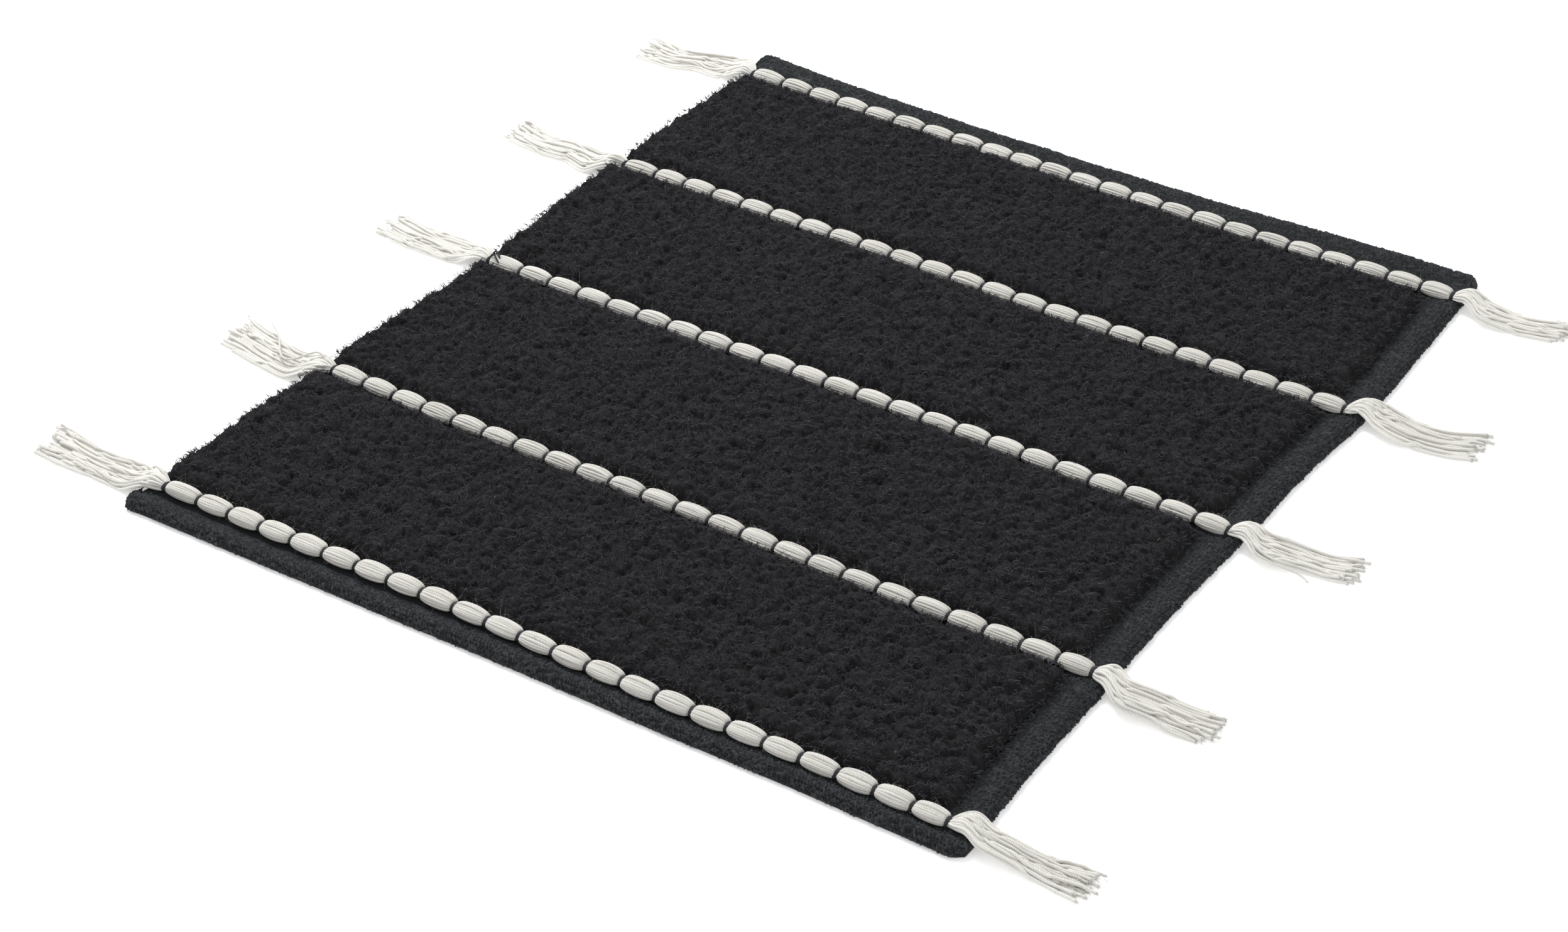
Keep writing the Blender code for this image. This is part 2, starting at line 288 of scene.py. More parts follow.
def cotton_material(name, dark, light, grain, drift_by, fibres, relief_mm, hollow_shade, sheen=0.1, plies=None):
    """Spun cotton with a fuzzy sheen. grain is per metre, fibres is (per metre, fineness, share), plies is
    (how many, twist pitch, the grooves' painted shade, depth in mm). A mark on the mesh paints shade into
    the colour: where it is 0 the colour falls to its hollow share, the painted shade of a hollow."""
    material = bpy.data.materials.new(name)
    material.use_nodes = True
    tree = material.node_tree
    shader = tree.nodes["Principled BSDF"]
    spun = node(tree, "ShaderNodeGroup", {
        "Dark": (*dark, 1.0), "Light": (*light, 1.0), "Grain per metre": grain, "Drift": drift_by,
        "Fibres per metre": fibres[0], "Fineness": fibres[1], "Fibre share": fibres[2],
        "Tone": attribute(tree, "tone"),
    }, node_tree=COTTON)
    # Painted shade: the colour darkens with the mesh's mark, in hollows and other shaded places.
    lit = plus(tree, times(tree, attribute(tree, "crest_shade"), 1 - hollow_shade), hollow_shade)
    height = times(tree, spun.outputs["Relief"], relief_mm * MM)
    if plies:
        # The ply grooves are painted darker too, a painted shade, besides their real relief in the bump.
        many, pitch, shade, depth = plies
        twist = node(tree, "ShaderNodeGroup", {"Plies": many, "Twist pitch": pitch}, node_tree=PLY_TWIST)
        lit = times(tree, lit, plus(tree, times(tree, twist.outputs["Ply"], 1 - shade), shade))
        height = plus(tree, height, times(tree, twist.outputs["Ply"], depth * MM))
    grey = node(tree, "ShaderNodeCombineColor", {0: lit, 1: lit, 2: lit}).outputs[0]
    colour = mix_colour(tree, 1.0, spun.outputs["Colour"], grey, "MULTIPLY")
    feed(tree, colour, shader.inputs["Base Color"])
    bump = node(tree, "ShaderNodeBump", {"Distance": 1.0, "Strength": 0.85, "Height": height})
    feed(tree, bump.outputs[0], shader.inputs["Normal"])
    plain = {
        "Roughness": 0.9, "Specular IOR Level": 0.2, "Sheen Weight": sheen, "Sheen Roughness": 0.45,
        "Sheen Tint": (*[min(1.0, 0.35 + c) for c in light], 1.0),
    }
    for word, value in plain.items():
        feed(tree, value, shader.inputs[word])
    return material


WHITE_YARN = cotton_material(
    "undyed_yarn", (0.42, 0.41, 0.375), (0.80, 0.785, 0.74), 2600, 0.25, (1100, 9, 0.2), 0.06, 0.78,
    sheen=0.2, plies=(5, 7.5 * MM, 0.80, 0.11),
)
WHITE_FUZZ = cotton_material(
    "undyed_fuzz", (0.50, 0.49, 0.46), (0.74, 0.73, 0.69), 900, 0.2, (900, 10, 0.0), 0.02, 1.0,
)
BLACK_PILE = cotton_material(
    "black_pile_cotton", (0.004, 0.004, 0.005), (0.066, 0.065, 0.078), 1700, 0.5, (900, 10, 0.3),
    0.08, 0.10,
)
# The same black cotton as the wisps, painted darker for the lower pile: painted shade deep in the pile.
BLACK_BED = cotton_material(
    "black_pile_bed", (0.0015, 0.0015, 0.002), (0.024, 0.024, 0.028), 1700, 0.3, (700, 10, 0.8), 0.5, 0.05,
)
BLACK_CLOTH = cotton_material(
    "black_cloth_cotton", (0.004, 0.005, 0.006), (0.030, 0.033, 0.037), 1800, 0.4, (800, 10, 0.5),
    0.15, 0.4,
)
BLACK_HEM = cotton_material(
    "black_hem_cotton", (0.004, 0.005, 0.006), (0.074, 0.082, 0.091), 2200, 0.4, (760, 10, 0.85), 0.5, 0.12,
)
BLACK_YARN = cotton_material(
    "black_tie_yarn", (0.016, 0.017, 0.020), (0.046, 0.048, 0.054), 2200, 0.2, (900, 10, 0.15), 0.05, 0.7,
    sheen=0.15, plies=(3, 5.0 * MM, 0.85, 0.08),
)
BLACK_FUZZ = cotton_material(
    "dark_fuzz", (0.018, 0.020, 0.023), (0.10, 0.11, 0.12), 900, 0.3, (900, 10, 0.0), 0.02, 1.0,
)


# ---------------------------------------------------------------- mesh making
def add_mesh(name, points, faces, sizes, corners_uv, material, marks):
    """A smooth mesh from arrays: its points, its faces' vertices in one run, each face's size, its bake map
    and its marks."""
    mesh = bpy.data.meshes.new(name)
    mesh.vertices.add(len(points))
    mesh.vertices.foreach_set("co", np.ascontiguousarray(points, np.float32).ravel())
    mesh.loops.add(len(faces))
    mesh.loops.foreach_set("vertex_index", faces.astype(np.int32))
    mesh.polygons.add(len(sizes))
    mesh.polygons.foreach_set("loop_start", np.concatenate([[0], np.cumsum(sizes)[:-1]]).astype(np.int32))
    mesh.polygons.foreach_set("loop_total", sizes.astype(np.int32))
    mesh.polygons.foreach_set("use_smooth", np.ones(len(sizes), bool))
    mesh.update(calc_edges=True)
    layer = mesh.uv_layers.new(name="OFBake")
    layer.uv.foreach_set("vector", np.ascontiguousarray(corners_uv, np.float32).ravel())
    for word, values in marks.items():
        mark = mesh.attributes.new(word, "FLOAT", "POINT")
        mark.data.foreach_set("value", np.ascontiguousarray(values, np.float32))
    mesh.materials.append(material)
    piece = bpy.data.objects.new(name, mesh)
    bpy.context.scene.collection.objects.link(piece)
    return piece


class Strands:
    """Many closed tubes in one mesh. Paths are (n, k, 3) and radii (n, k), in metres."""

    def __init__(self):
        self.parts = []

    def add(self, paths, radii, sides, upright, flat=1.0, tone=None, crest_shade=None, lobes=None):
        """flat is a section's height to its width. lobes is (how many, twist pitch, depth) of the plies."""
        n, k, _ = paths.shape
        along = np.gradient(paths, axis=1)
        along /= np.linalg.norm(along, axis=2, keepdims=True) + 1e-12
        beside = np.cross(along, np.broadcast_to(np.array(upright, float), along.shape))
        beside /= np.linalg.norm(beside, axis=2, keepdims=True) + 1e-12
        above = np.cross(beside, along)
        corner = 2 * np.pi * np.arange(sides) / sides
        run = np.cumsum(np.linalg.norm(np.diff(paths, axis=1, prepend=paths[:, :1]), axis=2), axis=1)
        run = run + rng_for("phase", n, k).uniform(0, 50 * MM, n)[:, None]
        out = np.repeat(radii[:, :, None], sides, axis=2)
        if lobes:
            many, pitch, depth = lobes
            turned = corner[None, None] + 2 * np.pi * run[..., None] / pitch
            out = out * (1 + depth * np.cos(many * turned))
        points = (
            paths[:, :, None, :]
            + (out * np.cos(corner))[..., None] * beside[:, :, None, :]
            + (out * np.sin(corner) * flat)[..., None] * above[:, :, None, :]
        )
        tone = np.full(n, 0.5) if tone is None else tone
        # The mark of painted shade along each tube: 1 is lit, lower is painted darker.
        crest_shade = np.ones((n, k)) if crest_shade is None else crest_shade
        marks = [tone[:, None, None], crest_shade[:, :, None]]
        if lobes:
            marks += [np.cos(corner), np.sin(corner), run[:, :, None]]
        self.parts.append((points, [np.broadcast_to(mark, (n, k, sides)) for mark in marks]))

    def build(self, name, material, long=False):
        """All tubes as one mesh. On the bake map each tube has a cell of its own, or a strip if long."""
        words = ("tone", "crest_shade", "round_cos", "round_sin", "along")
        marks = {word: [] for word in words[: min(len(given) for _, given in self.parts)]}
        total = sum(len(made) for made, _ in self.parts)
        across = 1 if long else max(1, math.ceil(math.sqrt(total)))
        cells = np.array([across, math.ceil(total / across)])
        points, faces, sizes, uvs = [], [], [], []
        start = done = 0
        for made, given in self.parts:
            n, k, s, _ = made.shape
            first = start + (np.arange(n) * k * s)[:, None, None] + (np.arange(k - 1) * s)[None, :, None]
            j = np.arange(s)[None, None, :]
            after = (j + 1) % s
            quads = np.stack([first + j, first + after, first + s + after, first + s + j], -1)
            index = np.arange(done, done + n)
            cell = np.stack([index % across, index // across], -1)[:, None, None] + 0.04
            a, a_next = [(np.arange(k - 1)[None, :, None] + step) / (k - 1) for step in (0, 1)]
            r, r_next = [(j + step) / s for step in (0, 1)]
            corners = ((r, a), (r_next, a), (r_next, a_next), (r, a_next))
            inside = [np.stack(np.broadcast_arrays(*(c[::-1] if long else c)), -1) for c in corners]
            uv = np.stack([(cell + 0.92 * spot) / cells for spot in inside], 3)
            last = first[:, -1, 0, None] + s
            caps = np.stack([first[:, 0, 0, None] + np.arange(s)[::-1], last + np.arange(s)], 1)
            turn = 2 * np.pi * np.arange(s) / s
            disc = np.stack([0.5 + 0.45 * np.cos(turn), 0.5 + 0.45 * np.sin(turn)], -1) * 0.05
            cap_uv = np.broadcast_to((cell + disc) / cells, (n, 2, s, 2))
            points.append(made.reshape(-1, 3))
            faces += [quads.ravel(), caps.ravel()]
            sizes += [np.full(n * (k - 1) * s, 4), np.full(2 * n, s)]
            uvs += [uv.reshape(-1, 2), cap_uv.reshape(-1, 2)]
            for word, values in zip(marks, given):
                marks[word].append(values.ravel())
            start += n * k * s
            done += n
        marks = {word: np.concatenate(values) for word, values in marks.items()}
        runs = [np.concatenate(run) for run in (points, faces, sizes, uvs)]
        return add_mesh(name, *runs, material, marks)


def closed_sheet(name, grid, material, tone, crest_shade):
    """A closed mesh of a grid of points (rows, columns, 3) whose last column joins the first."""
    r, c, _ = grid.shape
    i, j = np.meshgrid(np.arange(r - 1), np.arange(c), indexing="ij")
    after = (j + 1) % c
    quads = np.stack([i * c + j, i * c + after, (i + 1) * c + after, (i + 1) * c + j], -1).reshape(-1, 4)
    corners = ((i, j), (i, j + 1), (i + 1, j + 1), (i + 1, j))
    uv = np.stack([np.stack([a / (r - 1), b / c], -1) for a, b in corners], 2).reshape(-1, 2) * 0.98 + 0.01
    ends = np.stack([np.arange(c)[::-1], (r - 1) * c + np.arange(c)])
    return add_mesh(
        name, grid.reshape(-1, 3), np.concatenate([quads.ravel(), ends.ravel()]),
        np.concatenate([np.full(len(quads), 4), np.full(2, c)]),
        np.concatenate([uv, np.full((2 * c, 2), 0.005)]),
        material, {"tone": tone.ravel(), "crest_shade": crest_shade.ravel()},
    )


# ---------------------------------------------------------------- hems
# Each hem's upper skin from its foot outside to where it meets the cloth inside: (inset, height) in mm.
HEM_SKINS = {
    "front": (
        (1.3, 0.2), (0.1, 1.8), (0.8, 4.4), (2.9, 6.5), (5.8, 6.8), (8.0, 6.2), (10.4, 5.3), (13.4, 4.7),
    ),
    "back": (
        (1.4, 0.2), (0.1, 1.8), (0.9, 4.5), (3.6, 6.6), (7.4, 6.8), (12.0, 5.8), (17.0, 4.8), (22.0, 4.2),
    ),
    "right": (
        (1.2, 0.2), (0.0, 1.6), (0.8, 4.0), (3.4, 5.7), (7.5, 6.0), (12.0, 5.5), (17.0, 4.9), (22.0, 4.4),
    ),
    "left": (
        (1.2, 0.2), (0.0, 1.6), (0.9, 4.1), (3.0, 5.3), (6.0, 5.5), (9.0, 5.0), (11.0, 4.5), (12.5, 4.1),
    ),
}
HEM_FOOT = 12 * MM
SCALLOP = 2.7 * MM
FELT_DEPTH = 1.3  # mm


def felt_relief(along, across, seed):
    """Firm knit that has felted: short slanted ridges nearly lost in a moss of small lumps. From 0 to 1."""
    warp = 0.35 * drift(along, across, 3.2 * MM, seed)
    rib = 0.5 + 0.5 * np.cos(2 * np.pi * (along / (1.9 * MM) + across / (4.2 * MM) + warp))
    waver = 0.6 * drift(along, across, 4 * MM, seed + 3)
    break_up = 0.5 + 0.5 * np.cos(2 * np.pi * (across / (2.6 * MM) + waver))
    moss = 1 - np.abs(drift(along, across, 1.05 * MM, seed + 1)) * 2.0
    lumps = 0.5 + 0.5 * drift(along, across, 2.2 * MM, seed + 2)
    relief = 0.34 * rib * break_up + 0.36 * moss + 0.3 * lumps
    return np.clip(0.5 + 1.5 * (relief - 0.45), 0, 1)


def hem_grid(path, inward, skin, step, seed, ends=False):
    """A hem's closed section, swept along the path of its outer edge, with its felted relief."""
    lengths = np.concatenate([[0], np.cumsum(np.linalg.norm(np.diff(path, axis=0), axis=1))])
    skin = np.array(HEM_SKINS[skin]) * MM
    chords = np.concatenate([[0], np.cumsum(np.linalg.norm(np.diff(skin, axis=0), axis=1))])
    arc = np.linspace(0, chords[-1], int(chords[-1] / step))
    inset, rise = through(arc, chords, skin[:, 0]), through(arc, chords, skin[:, 1])
    run, climb = np.gradient(inset), np.gradient(rise)
    size = np.hypot(run, climb)
    out_inset, out_rise = -climb / size, run / size
    relief = felt_relief(lengths[:, None], arc[None, :], seed)
    edge = ramp(arc, 1.5) * ramp(arc[-1] - arc, 3)
    lift = (relief - 0.5) * FELT_DEPTH * MM * edge
    outer = smooth(1 - inset / (3 * MM)) * smooth(rise / MM)
    waver = 0.6 * drift(lengths, 0, 0.011, seed + 7)
    bumps = np.abs(np.sin(np.pi * (lengths / SCALLOP + waver))) ** 0.7
    big = drift(lengths, 0, 0.006, seed + 8)
    lift = lift + ((bumps[:, None] - 0.6) * 0.45 + 0.25 * big[:, None]) * MM * outer
    fat = 1 + 0.06 * drift(lengths, 0, 0.03, seed + 5)[:, None]
    if ends:
        close = np.minimum(lengths, lengths[-1] - lengths)[:, None]
        fat = fat * (0.62 + 0.38 * np.sqrt(np.clip(1 - (1 - np.clip(close / (4 * MM), 0, 1)) ** 2, 0, 1)))
    inset_all = inset + out_inset * lift
    rise_all = np.maximum((rise + out_rise * lift) * fat, 0.05 * MM)
    foot = np.linspace(1, 0, 6)[:-1]
    under_inset = np.broadcast_to(1.4 * MM + (HEM_FOOT - 1.4 * MM) * foot, (len(path), 5))
    under_rise = np.full((len(path), 5), 0.10 * MM)
    skirt_inset = inset_all[:, -1:] - 1.0 * MM
    skirt_rise = np.full((len(path), 1), CLOTH_TOP - 0.6 * MM)
    inset_all = np.concatenate([inset_all, skirt_inset, under_inset], 1)
    rise_all = np.concatenate([rise_all, skirt_rise, under_rise], 1)
    points = np.zeros((*inset_all.shape, 3))
    points[:, :, :2] = path[:, None, :2] + inset_all[:, :, None] * inward[:, None, :2]
    points[:, :, 2] = rise_all
    # The tone drifts at random and is lighter on the raised felt, a painted highlight.
    tone = 0.34 + 0.25 * drift(lengths[:, None], arc[None, :], 3 * MM, seed + 2) + 0.2 * relief
    # Painted shadow: the hem is painted darker towards the pile, which overhangs its inner side.
    shadow_by_pile = 1 - 0.55 * smooth((inset - 11 * MM) / (7 * MM))
    # The skirt and underside get a plain tone and a plain painted shade.
    plain = np.full((len(path), 6), 0.4)
    # Painted shade deep in the felt's hollows, and the painted shadow of the pile.
    crest_shade = (0.08 + 0.92 * relief**1.3) * shadow_by_pile
    return points, np.concatenate([tone, plain], 1), np.concatenate([crest_shade, plain], 1), len(arc)


def make_felt_fuzz(name, grid, skin_count, per_cm2, seed, flip):
    """Short curling fibres that lie on a hem's skin."""
    rng = np.random.default_rng(seed)
    skin = grid[:, :skin_count]
    du, dv = np.gradient(skin, axis=0), np.gradient(skin, axis=1)
    normal = np.cross(du, dv)
    size = np.linalg.norm(normal, axis=2)
    normal = normal / (size[..., None] + 1e-12) * (-1 if flip else 1)
    n = int(size.sum() * 1e4 * per_cm2)
    pick = rng.choice(size.size, n, p=(size / size.sum()).ravel())
    root, up = skin.reshape(-1, 3)[pick], normal.reshape(-1, 3)[pick]
    spin = rng.normal(0, 1, (n, 3))
    side = np.cross(up, spin)
    side /= np.linalg.norm(side, axis=1, keepdims=True) + 1e-9
    other = np.cross(up, side)
    length = rng.uniform(1.0, 3.0, n) * MM
    t = np.linspace(0, 1, 6)[None, :, None]
    curl = rng.uniform(-0.9, 0.9, n)[:, None, None]
    lying = side[:, None] * t + other[:, None] * curl * np.sin(3.4 * t)
    paths = root[:, None] + length[:, None, None] * lying
    lift = rng.uniform(0.15, 0.5, n)[:, None, None] * MM * np.sin(np.pi * t) + 0.02 * MM
    paths = paths + up[:, None] * lift
    paths[..., 2] = np.maximum(paths[..., 2], 0.08 * MM)
    radii = np.broadcast_to(0.045 * MM * np.array([0.7, 1.0, 1.0, 1.0, 0.8, 0.4]), (n, 6))
    strands = Strands()
    strands.add(paths, radii, 3, (0.31, 0.22, 0.92), tone=rng.uniform(0.1, 0.9, n))
    fuzz = strands.build(name, BLACK_FUZZ)
    return fuzz


def make_hems():
    made = []
    for word, side, step in (("front", -1, 0.42 * MM), ("back", 1, 0.55 * MM)):
        near = side * 0.295
        x = np.arange(side_edge(-1, near) - 2.4 * MM, side_edge(1, near) - 0.6 * MM, step)
        path = np.stack([x, end_edge(side, x), 0 * x], -1)
        close = np.minimum((x - x[0]) * 1.8, x[-1] - x)
        path[:, 1] -= side * 4.4 * MM * np.clip(1 - close / (6.0 * MM), 0, 1) ** 1.3
        inward = np.tile([0.0, -float(side), 0.0], (len(x), 1))
        swept = hem_grid(path, inward, word, step, 20 + side, ends=True)
        made += hem_pieces(f"end_hem_{word}", side < 0, 16, swept)
    for word, side, step, per_cm2 in (("left", -1, 0.8 * MM, 8), ("right", 1, 0.45 * MM, 16)):
        y = np.arange(FRONT_EDGE + END_HEM_IN - 2 * MM, BACK_EDGE - END_HEM_IN + 6 * MM, step)
        path = np.stack([side_edge(side, y), y, 0 * y], -1)
        inward = np.tile([-float(side), 0.0, 0.0], (len(y), 1))
        swept = hem_grid(path, inward, word, step, 40 + side)
        made += hem_pieces(f"side_hem_{word}", side > 0, per_cm2, swept)
    return made


def hem_pieces(name, flip, per_cm2, swept):
    """One hem's felt and its fuzz. flip turns the skin's faces outwards."""
    grid, tone, crest_shade, count = swept
    fuzz = make_felt_fuzz(f"{name}_fuzz", grid, count, per_cm2, 300 + len(name) + int(flip), flip)
    if flip:
        grid, tone, crest_shade = grid[::-1], tone[::-1], crest_shade[::-1]
    piece = closed_sheet(f"{name}_felt", grid, BLACK_HEM, tone, crest_shade)
    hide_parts(name)
    return [piece, fuzz]


# ---------------------------------------------------------------- ground cloth
def cuts(marks, fine, coarse, bands):
    """Places from the first mark to the last, fine inside the bands and coarse outside."""
    places, at = [marks[0]], marks[0]
    while at < marks[1]:
        at += fine if any(low <= at <= high for low, high in bands) else coarse
        places.append(min(at, marks[1]))
    return np.array(places)


def make_cloth():
    """A plain weave, seen beside the pile on the right and in the channels."""
    channels = [(row_y(row) - 9 * MM, row_y(row) + 9 * MM) for row in ROWS]
    y = cuts((FRONT_EDGE + 4 * MM, BACK_EDGE - 4 * MM), 0.9 * MM, 6 * MM, channels)
    s = np.linspace(0, 1, 180)
    left, right = side_edge(-1, y) + 4 * MM, side_edge(1, y) - 4 * MM
    x = left[:, None] + (right - left)[:, None] * s[None, :]
    front, back = end_edge(-1, x) - FRONT_EDGE, end_edge(1, x) - BACK_EDGE
    near_front = smooth(1 - (y - FRONT_EDGE) / (18 * MM))
    near_back = smooth(1 - (BACK_EDGE - y) / (18 * MM))
    yy = y[:, None] + front * near_front[:, None] + back * near_back[:, None]
    weave = 0.5 + 0.5 * np.sin(np.pi * x / (0.9 * MM)) * np.sin(np.pi * yy / (1.0 * MM))
    top = CLOTH_TOP + (weave - 0.5) * 0.3 * MM + 0.25 * MM * drift(x, yy, 0.012, 3)
    upper = np.stack([x, yy, top], -1)
    lower = np.stack([x, yy, np.full(x.shape, CLOTH_LOW.z)], -1)[:, ::-1]
    grid = np.concatenate([upper, lower], 1)
    tone = np.full(grid.shape[:2], 0.45)
    # Painted shade in the dips of the weave; the underside gets a plain painted shade.
    crest_shade = np.concatenate([weave, np.full(x.shape, 0.5)], 1)
    cloth = closed_sheet("ground_cloth_weave", grid, BLACK_CLOTH, tone, crest_shade)
    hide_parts("ground_cloth")
    return cloth


# ---------------------------------------------------------------- roving and ties
YARNS = 15
YARN_RINGS = 16  # rings per puff
YARN_SIDES = 9
YARN_PLIES = (5, 7.5 * MM, 0.0)  # plies, twist pitch and depth in the mesh: the material draws the grooves
NECK_WIDE, NECK_TALL = 2.9 * MM, 2.0 * MM
NECK_SINK = 0.5 * MM  # how far a tie pulls the roving down onto the cloth
BELLY_WIDE, BELLY_TALL = 5.8 * MM, 4.5 * MM
TIE_SHARE = 0.06  # the share of a puff's pitch that lies under a tie, on each side of it
FUZZ_PER_PUFF = 46
# The knotted ends of a tie, in mm: where each starts across the roving, where it ends along and across it,
# how high it arches and its radius.
TIE_ENDS = ((1.2, 7.5, -1.5, 2.4, 0.55), (-1.4, 8.5, -4.8, 1.6, 0.5), (0.2, 5.0, 2.4, 2.2, 0.4))


def puff_profile(x, row):
    """A roving's half-width, half-height and middle height at x, tied in at each neck. No two puffs are the
    same."""
    rng = rng_for("puff", row)
    wide, tall = rng.normal(1, 0.045, PUFFS + 2), rng.normal(1, 0.045, PUFFS + 2)
    at = (x + LAST_TIE) / PITCH
    which = np.clip(np.floor(at).astype(int), 0, PUFFS - 1)
    u = np.clip((at - which - TIE_SHARE) / (1 - 2 * TIE_SHARE), 0, 1)
    swell = np.clip(np.sin(np.pi * u), 0, 1) ** 0.32
    return (
        mix(NECK_WIDE, BELLY_WIDE * wide[which], swell), mix(NECK_TALL, BELLY_TALL * tall[which], swell),
        ROVING_Z - ROW_DROP[row] - NECK_SINK * (1 - swell),
    )


def make_roving(row):
    """One row of puffs: its yarns, drawn in at each tie round a plain core, and its fuzz."""
    rng = rng_for("roving", row)
    within = 0.5 - 0.5 * np.cos(np.pi * np.arange(YARN_RINGS - 2) / (YARN_RINGS - 2))
    within = TIE_SHARE + (1 - 2 * TIE_SHARE) * within
    within = np.concatenate([[0.0], within, [1 - TIE_SHARE]])
    x = (np.arange(PUFFS)[:, None] + within[None, :]).ravel()
    x = -LAST_TIE + PITCH * np.concatenate([x, [PUFFS]])
    width, height, z0 = puff_profile(x, row)
    thick = 0.98 * mix(0.58, 0.82, (width - NECK_WIDE) / (BELLY_WIDE - NECK_WIDE)) * MM
    x = pushed(x)
    y0 = row_y(row, x)
    paths, radii = [], []
    for k in range(YARNS):
        share = (k + 0.5 * rng.uniform(-0.4, 0.4)) / (YARNS - 1)
        angle = mix(-0.13, 1.13, share) * np.pi + 0.13 * drift(x, k, 0.021, 60 + row)
        inset = 1 - 0.08 * (0.5 + 0.5 * drift(x, 7 * k, 0.012, 61 + row))
        y = y0 + (width * inset - thick) * np.cos(angle)
        z = z0 + 0.2 * MM + (height * inset - thick) * np.sin(angle)
        paths.append(np.stack([x, y, z], -1))
        radii.append(thick * (1 + 0.09 * drift(x, 3 * k, 0.009, 62 + row)))
    strands = Strands()
    # A random tone for each yarn; the same yarn in the tassels is painted lighter, a painted light from the
    # floor.
    tone = rng.normal(0.42, 0.1, YARNS)
    strands.add(np.array(paths), np.array(radii), YARN_SIDES, (0, 0, 1), tone=tone, lobes=YARN_PLIES)
    few = slice(None, None, 4)
    core = np.stack([x[few], y0[few], z0[few]], -1)[None]
    fill = (width[few] - thick[few])[None]
    # The core, seen between the yarns, is painted dark: a dark tone and painted shade for the shade inside
    # the puff.
    hollow_shade = np.full(fill.shape, 0.4)
    strands.add(core, fill, 14, (0, 0, 1), flat=0.76, tone=np.array([0.2]), crest_shade=hollow_shade, lobes=YARN_PLIES)
    piece = strands.build(f"roving_{row}_yarns", WHITE_YARN, long=True)
    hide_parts(f"roving_{row}")
    return [piece, make_puff_fuzz(row, rng)]


def make_puff_fuzz(row, rng):
    """The halo of loose fibres that lie on the yarns and stand a little off them, most on the back."""
    n = PUFFS * FUZZ_PER_PUFF
    x = rng.uniform(-LAST_TIE + 2 * MM, LAST_TIE - 2 * MM, n)
    width, height, z0 = puff_profile(x, row)
    behind = rng.uniform(0, 1, n) < 0.4
    angle = np.where(behind, rng.uniform(-0.1, 1.2, n), rng.uniform(0.2, np.pi + 0.1, n))
    x = pushed(x)
    y = row_y(row, x) + (width - 0.4 * MM) * np.cos(angle)
    z = z0 + (height - 0.3 * MM) * np.sin(angle)
    lift = rng.uniform(0.0, 0.9, n) ** 1.5
    along, round_it = rng.normal(0, 1, n), rng.normal(0, 0.7, n)
    out = np.stack([
        along,
        lift * np.cos(angle) - round_it * np.sin(angle),
        lift * np.sin(angle) + round_it * np.cos(angle),
    ], -1)
    strands = Strands()
    length = 0.8 * MM + 2.6 * MM * rng.uniform(0, 1, n) ** 2
    paths, radii = hairs(np.stack([x, y, z], -1), out, length, 0.026 * MM, rng, rings=7, curl=0.95)
    strands.add(paths, radii, 3, (0.3, 0.2, 0.9), tone=rng.uniform(0.2, 0.7, n))
    fuzz = strands.build(f"roving_{row}_fuzz", WHITE_FUZZ)
    return fuzz


def hairs(root, out, length, radius, rng, rings=5, curl=0.45):
    """Paths and radii of fine curling fibres that leave their roots in the directions given."""
    n = len(root)
    out = out / (np.linalg.norm(out, axis=1, keepdims=True) + 1e-9)
    first, second = np.clip(rng.normal(0, 1, (2, n, 1, 3)), -1.6, 1.6)
    t = np.linspace(0, 1, rings)[None, :, None]
    wave = curl * (first * t**2 + 0.6 * second * t * np.sin(4.5 * t))
    paths = root[:, None, :] + length[:, None, None] * (out[:, None, :] * t + wave)
    paths[..., 2] = np.maximum(paths[..., 2], 0.15 * MM)
    radii = np.broadcast_to(radius * (1.1 - 0.6 * t[..., 0]), (n, rings)).copy()
    return paths, radii


def make_tie(row):
    """One length of yarn: over each neck, down through the cloth and along its back to the next."""
    rng = rng_for("tie", row)
    path, radius = [], []
    reach, tall = NECK_WIDE + 0.1 * MM, NECK_TALL + 0.3 * MM
    middle = ROVING_Z - ROW_DROP[row] - NECK_SINK
    turn = np.linspace(-0.3, 1.3, 17) * np.pi
    for k in range(TIES):
        x = pushed(-LAST_TIE + k * PITCH)
        y = row_y(row, x)
        lean = rng.normal(0.5, 0.35) * MM
        over = [x + lean * np.cos(turn), y + reach * np.cos(turn), middle + tall * np.sin(turn)]
        path.append(np.stack(over, -1))
        radius.append(np.full(len(turn), 0.58 * rng.normal(1, 0.06)) * MM)
        if k < TIES - 1:
            t = np.linspace(0.12, 0.88, 5)
            under = [x + PITCH * t, y + 0.6 * reach * (2 * t - 1), np.full(5, CLOTH_LOW.z - 0.7 * MM)]
            path.append(np.stack(under, -1))
            radius.append(np.full(5, 0.4) * MM)
    strands = Strands()
    path, radius = np.concatenate(path)[None], np.concatenate(radius)[None]
    strands.add(path, radius, 12, (0.97, 0.1, 0.05), flat=2.15, lobes=(3, 5 * MM, 0.03))
    if row == 3:
        add_tie_ends(strands, row)
    piece = strands.build(f"tie_yarn_{row}_twist", BLACK_YARN, long=True)
    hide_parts(f"tie_yarn_{row}")
    return piece


def add_tie_ends(strands, row):
    """The knotted ends of the tie yarn lie over the first puff."""
    x, y = -LAST_TIE + MM, row_y(row, -LAST_TIE)
    z = ROVING_Z - ROW_DROP[row] + NECK_TALL + 0.5 * MM
    t = np.linspace(0, 1, 12)
    for start_y, end_x, end_y, lift, radius in TIE_ENDS:
        path = np.stack([
            x + end_x * MM * t,
            y + mix(start_y, end_y, t) * MM + 0.5 * MM * np.sin(5 * t),
            z + lift * MM * np.sin(np.pi * t**0.6) + 0.9 * MM,
        ], -1)[None]
        radii = radius * MM * np.interp(t, [0, 0.8, 1], [1, 1, 0.6])[None]
        strands.add(path, radii, 9, (0, 0, 1), lobes=(3, 4 * MM, 0.05))


